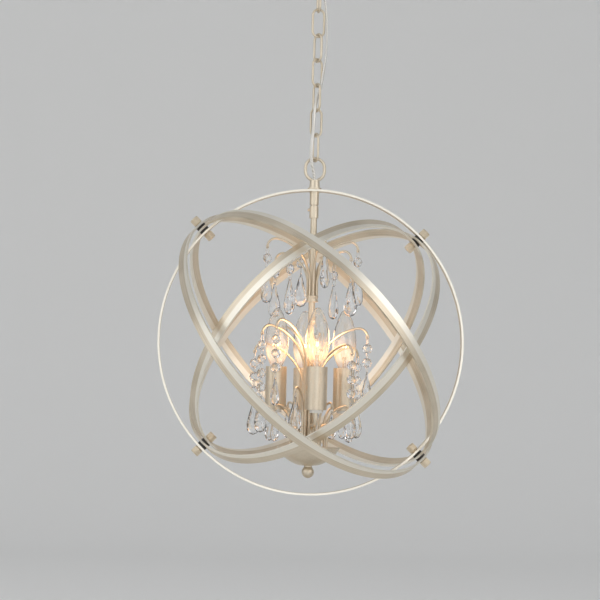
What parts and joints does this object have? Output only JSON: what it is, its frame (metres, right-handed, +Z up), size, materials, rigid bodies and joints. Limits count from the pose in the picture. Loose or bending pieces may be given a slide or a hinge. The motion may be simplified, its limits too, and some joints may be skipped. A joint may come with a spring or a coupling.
{
  "type": "orb chandelier",
  "caption": "Orb chandelier with swivelling metal rings round candle lamps and hanging crystals, on a chain from a ceiling canopy.",
  "frame": {"origin": "centre of the mounting strap's face on the ceiling", "axes": "+Z up into the ceiling, X along the strap and across the hoop, -Y towards the front"},
  "size_m": [0.4, 0.3816, 0.738],
  "materials": {
    "satin_champagne": "satin champagne silver, finely brushed",
    "zinc_steel": "zinc plated",
    "black_plastic": "matt black",
    "clear_cord": "clear insulation over silver wire",
    "white_ceramic": "glazed",
    "clear_bulb_glass": "clear, blown",
    "nickel_base": "nickel plated",
    "cut_crystal": "clear, cut and polished"
  },
  "bodies": {
    "ceiling_mount": {"mounting_strap": "zinc_steel", "ceiling_canopy": "satin_champagne", "canopy_nipple": "zinc_steel", "canopy_collar_nut": "satin_champagne", "canopy_loop": "satin_champagne", "supply_cord": "clear_cord"},
    "link_1": {"chain_link_1": "satin_champagne"},
    "link_2": {"chain_link_2": "satin_champagne"},
    "link_3": {"chain_link_3": "satin_champagne"},
    "link_4": {"chain_link_4": "satin_champagne"},
    "link_5": {"chain_link_5": "satin_champagne"},
    "link_6": {"chain_link_6": "satin_champagne"},
    "link_7": {"chain_link_7": "satin_champagne"},
    "fixture": {"hub_loop": "satin_champagne", "hub_washer": "satin_champagne", "stem_couplings": "satin_champagne", "coupling_set_screw": "satin_champagne", "stem_tube": "satin_champagne", "arm_collar": "satin_champagne", "fixed_hoop": "satin_champagne", "pivot_bolts": "satin_champagne", "pivot_cap_nuts": "satin_champagne", "pivot_washers": "black_plastic", "crystal_arms": "satin_champagne", "socket_arms": "satin_champagne", "socket_sleeves": "satin_champagne", "lamp_sockets": "white_ceramic", "bulb_glass": "clear_bulb_glass", "bulb_bases": "nickel_base", "dish_bowl": "satin_champagne", "dish_cover": "satin_champagne", "finial": "satin_champagne"},
    "ring_1": {"orb_ring_1": "satin_champagne"},
    "ring_2": {"orb_ring_2": "satin_champagne"},
    "ring_3": {"orb_ring_3": "satin_champagne"},
    "ring_4": {"orb_ring_4": "satin_champagne"},
    "top_crystals_1_body": {"top_crystals_1": "cut_crystal"},
    "top_crystals_2_body": {"top_crystals_2": "cut_crystal"},
    "top_crystals_3_body": {"top_crystals_3": "cut_crystal"},
    "top_crystals_4_body": {"top_crystals_4": "cut_crystal"},
    "top_crystals_5_body": {"top_crystals_5": "cut_crystal"},
    "top_crystals_6_body": {"top_crystals_6": "cut_crystal"},
    "top_crystals_7_body": {"top_crystals_7": "cut_crystal"},
    "top_crystals_8_body": {"top_crystals_8": "cut_crystal"},
    "middle_crystals_1_body": {"middle_crystals_1": "cut_crystal"},
    "middle_crystals_2_body": {"middle_crystals_2": "cut_crystal"},
    "middle_crystals_3_body": {"middle_crystals_3": "cut_crystal"},
    "middle_crystals_4_body": {"middle_crystals_4": "cut_crystal"},
    "middle_crystals_5_body": {"middle_crystals_5": "cut_crystal"},
    "middle_crystals_6_body": {"middle_crystals_6": "cut_crystal"},
    "middle_crystals_7_body": {"middle_crystals_7": "cut_crystal"},
    "middle_crystals_8_body": {"middle_crystals_8": "cut_crystal"},
    "lower_crystals_1_body": {"lower_crystals_1": "cut_crystal"},
    "lower_crystals_2_body": {"lower_crystals_2": "cut_crystal"},
    "lower_crystals_3_body": {"lower_crystals_3": "cut_crystal"},
    "lower_crystals_4_body": {"lower_crystals_4": "cut_crystal"},
    "lower_crystals_5_body": {"lower_crystals_5": "cut_crystal"},
    "lower_crystals_6_body": {"lower_crystals_6": "cut_crystal"},
    "lower_crystals_7_body": {"lower_crystals_7": "cut_crystal"},
    "lower_crystals_8_body": {"lower_crystals_8": "cut_crystal"}
  },
  "joints": [
    {"name": "link_1_swing", "type": "hinge", "parent": "ceiling_mount", "child": "link_1", "pos_m": [0, 0, -0.0716], "axis": [0.9903, 0.1392, 0], "range_deg": [-15, 15], "deforming": ["supply_cord"]},
    {"name": "link_2_swing", "type": "hinge", "parent": "link_1", "child": "link_2", "pos_m": [0, 0, -0.1039], "axis": [0.1736, -0.9848, 0], "range_deg": [-15, 15], "deforming": ["supply_cord"]},
    {"name": "link_3_swing", "type": "hinge", "parent": "link_2", "child": "link_3", "pos_m": [0, 0, -0.1367], "axis": [0.9848, 0.1736, 0], "range_deg": [-15, 15], "deforming": ["supply_cord"]},
    {"name": "link_4_swing", "type": "hinge", "parent": "link_3", "child": "link_4", "pos_m": [0, 0, -0.1695], "axis": [0.5592, -0.829, 0], "range_deg": [-15, 15], "deforming": ["supply_cord"]},
    {"name": "link_5_swing", "type": "hinge", "parent": "link_4", "child": "link_5", "pos_m": [0, 0, -0.2023], "axis": [0.788, 0.6157, 0], "range_deg": [-15, 15], "deforming": ["supply_cord"]},
    {"name": "link_6_swing", "type": "hinge", "parent": "link_5", "child": "link_6", "pos_m": [0, 0, -0.2351], "axis": [0.5, -0.866, 0], "range_deg": [-15, 15], "deforming": ["supply_cord"]},
    {"name": "link_7_swing", "type": "hinge", "parent": "link_6", "child": "link_7", "pos_m": [0, 0, -0.2679], "axis": [0.9135, 0.4067, 0], "range_deg": [-15, 15], "deforming": ["supply_cord"]},
    {"name": "fixture_swing", "type": "hinge", "parent": "link_7", "child": "fixture", "pos_m": [0, 0, -0.3007], "axis": [0.4067, -0.9135, 0], "range_deg": [-15, 15], "deforming": ["supply_cord"]},
    {"name": "ring_1_turn", "type": "hinge", "parent": "fixture", "child": "ring_1", "pos_m": [0, 0, -0.538], "axis": [0.7071, 0, -0.7071], "range_deg": [-111, 49]},
    {"name": "ring_2_turn", "type": "hinge", "parent": "fixture", "child": "ring_2", "pos_m": [0, 0, -0.538], "axis": [0.7071, 0, -0.7071], "range_deg": [-55.7, 104.3]},
    {"name": "ring_3_turn", "type": "hinge", "parent": "fixture", "child": "ring_3", "pos_m": [0, 0, -0.538], "axis": [0.7071, 0, 0.7071], "range_deg": [-110.3, 49.7]},
    {"name": "ring_4_turn", "type": "hinge", "parent": "fixture", "child": "ring_4", "pos_m": [0, 0, -0.538], "axis": [0.7071, 0, 0.7071], "range_deg": [-48.3, 111.7]},
    {"name": "top_crystals_1_swing", "type": "hinge", "parent": "fixture", "child": "top_crystals_1_body", "pos_m": [0.05999, 0.01275, -0.4171], "axis": [-0.9063, -0.4226, 0], "range_deg": [-5.6, 6.7]},
    {"name": "top_crystals_2_swing", "type": "hinge", "parent": "fixture", "child": "top_crystals_2_body", "pos_m": [0.03122, 0.04808, -0.4331], "axis": [0.7193, -0.6947, 0], "range_deg": [-4, 19.5]},
    {"name": "top_crystals_3_swing", "type": "hinge", "parent": "fixture", "child": "top_crystals_3_body", "pos_m": [-0.01275, 0.05999, -0.4171], "axis": [0.9962, 0.0872, 0], "range_deg": [-4, 19.8]},
    {"name": "top_crystals_4_swing", "type": "hinge", "parent": "fixture", "child": "top_crystals_4_body", "pos_m": [-0.04808, 0.03122, -0.4331], "axis": [0.866, -0.5, 0], "range_deg": [-5.9, 6]},
    {"name": "top_crystals_5_swing", "type": "hinge", "parent": "fixture", "child": "top_crystals_5_body", "pos_m": [-0.05999, -0.01275, -0.4171], "axis": [0.8572, 0.515, 0], "range_deg": [-5.3, 7.5]},
    {"name": "top_crystals_6_swing", "type": "hinge", "parent": "fixture", "child": "top_crystals_6_body", "pos_m": [-0.03122, -0.04808, -0.4331], "axis": [-0.7193, 0.6947, 0], "range_deg": [-4, 19.5]},
    {"name": "top_crystals_7_swing", "type": "hinge", "parent": "fixture", "child": "top_crystals_7_body", "pos_m": [0.01275, -0.05999, -0.4171], "axis": [-0.6691, -0.7431, 0], "range_deg": [-4.4, 15.2]},
    {"name": "top_crystals_8_swing", "type": "hinge", "parent": "fixture", "child": "top_crystals_8_body", "pos_m": [0.04808, -0.03122, -0.4331], "axis": [-0.9659, 0.2588, 0], "range_deg": [-5.4, 7.3]},
    {"name": "middle_crystals_1_swing", "type": "hinge", "parent": "fixture", "child": "middle_crystals_1_body", "pos_m": [0.07264, -0.01878, -0.5321], "axis": [0.9397, -0.342, 0], "range_deg": [-5.8, 6.1]},
    {"name": "middle_crystals_2_swing", "type": "hinge", "parent": "fixture", "child": "middle_crystals_2_body", "pos_m": [0.06464, 0.03808, -0.5551], "axis": [0.866, 0.5, 0], "range_deg": [-6, 6]},
    {"name": "middle_crystals_3_swing", "type": "hinge", "parent": "fixture", "child": "middle_crystals_3_body", "pos_m": [0.01878, 0.07264, -0.5361], "axis": [0.9848, 0.1736, 0], "range_deg": [-4.2, 17.6]},
    {"name": "middle_crystals_4_swing", "type": "hinge", "parent": "fixture", "child": "middle_crystals_4_body", "pos_m": [-0.03808, 0.06464, -0.5291], "axis": [0.9063, -0.4226, 0], "range_deg": [-4.9, 10.5]},
    {"name": "middle_crystals_5_swing", "type": "hinge", "parent": "fixture", "child": "middle_crystals_5_body", "pos_m": [-0.07264, 0.01878, -0.5531], "axis": [0.9659, 0.2588, 0], "range_deg": [-5, 9.4]},
    {"name": "middle_crystals_6_swing", "type": "hinge", "parent": "fixture", "child": "middle_crystals_6_body", "pos_m": [-0.06464, -0.03808, -0.5311], "axis": [-0.8829, -0.4695, 0], "range_deg": [-5.9, 6]},
    {"name": "middle_crystals_7_swing", "type": "hinge", "parent": "fixture", "child": "middle_crystals_7_body", "pos_m": [-0.04721, -0.05831, -0.5241], "axis": [-0.9511, 0.309, 0], "range_deg": [-4.1, 18.2]},
    {"name": "middle_crystals_8_swing", "type": "hinge", "parent": "fixture", "child": "middle_crystals_8_body", "pos_m": [0.0502, -0.05575, -0.5551], "axis": [-0.9272, -0.3746, 0], "range_deg": [-4.1, 18.4]},
    {"name": "lower_crystals_1_swing", "type": "hinge", "parent": "fixture", "child": "lower_crystals_1_body", "pos_m": [0.05124, -0.01325, -0.62873], "axis": [-0.9063, -0.4226, 0], "range_deg": [-3, 5]},
    {"name": "lower_crystals_2_swing", "type": "hinge", "parent": "fixture", "child": "lower_crystals_2_body", "pos_m": [0.0456, 0.02686, -0.62473], "axis": [0.9659, -0.2588, 0], "range_deg": [-3, 5.5]},
    {"name": "lower_crystals_3_swing", "type": "hinge", "parent": "fixture", "child": "lower_crystals_3_body", "pos_m": [0.01325, 0.05124, -0.62473], "axis": [0.866, 0.5, 0], "range_deg": [-3, 5.5]},
    {"name": "lower_crystals_4_swing", "type": "hinge", "parent": "fixture", "child": "lower_crystals_4_body", "pos_m": [-0.02686, 0.0456, -0.62473], "axis": [0.9848, -0.1736, 0], "range_deg": [-3, 5.9]},
    {"name": "lower_crystals_5_swing", "type": "hinge", "parent": "fixture", "child": "lower_crystals_5_body", "pos_m": [-0.05124, 0.01325, -0.62873], "axis": [0.9397, 0.342, 0], "range_deg": [-3, 4.6]},
    {"name": "lower_crystals_6_swing", "type": "hinge", "parent": "fixture", "child": "lower_crystals_6_body", "pos_m": [-0.0456, -0.02686, -0.62873], "axis": [-0.8829, 0.4695, 0], "range_deg": [-3, 6.6]},
    {"name": "lower_crystals_7_swing", "type": "hinge", "parent": "fixture", "child": "lower_crystals_7_body", "pos_m": [-0.02068, -0.04872, -0.60573], "axis": [-0.9781, -0.2079, 0], "range_deg": [-3, 6.4]},
    {"name": "lower_crystals_8_swing", "type": "hinge", "parent": "fixture", "child": "lower_crystals_8_body", "pos_m": [0.02686, -0.0456, -0.62473], "axis": [-0.9272, 0.3746, 0], "range_deg": [-3, 4.9]}
  ]
}
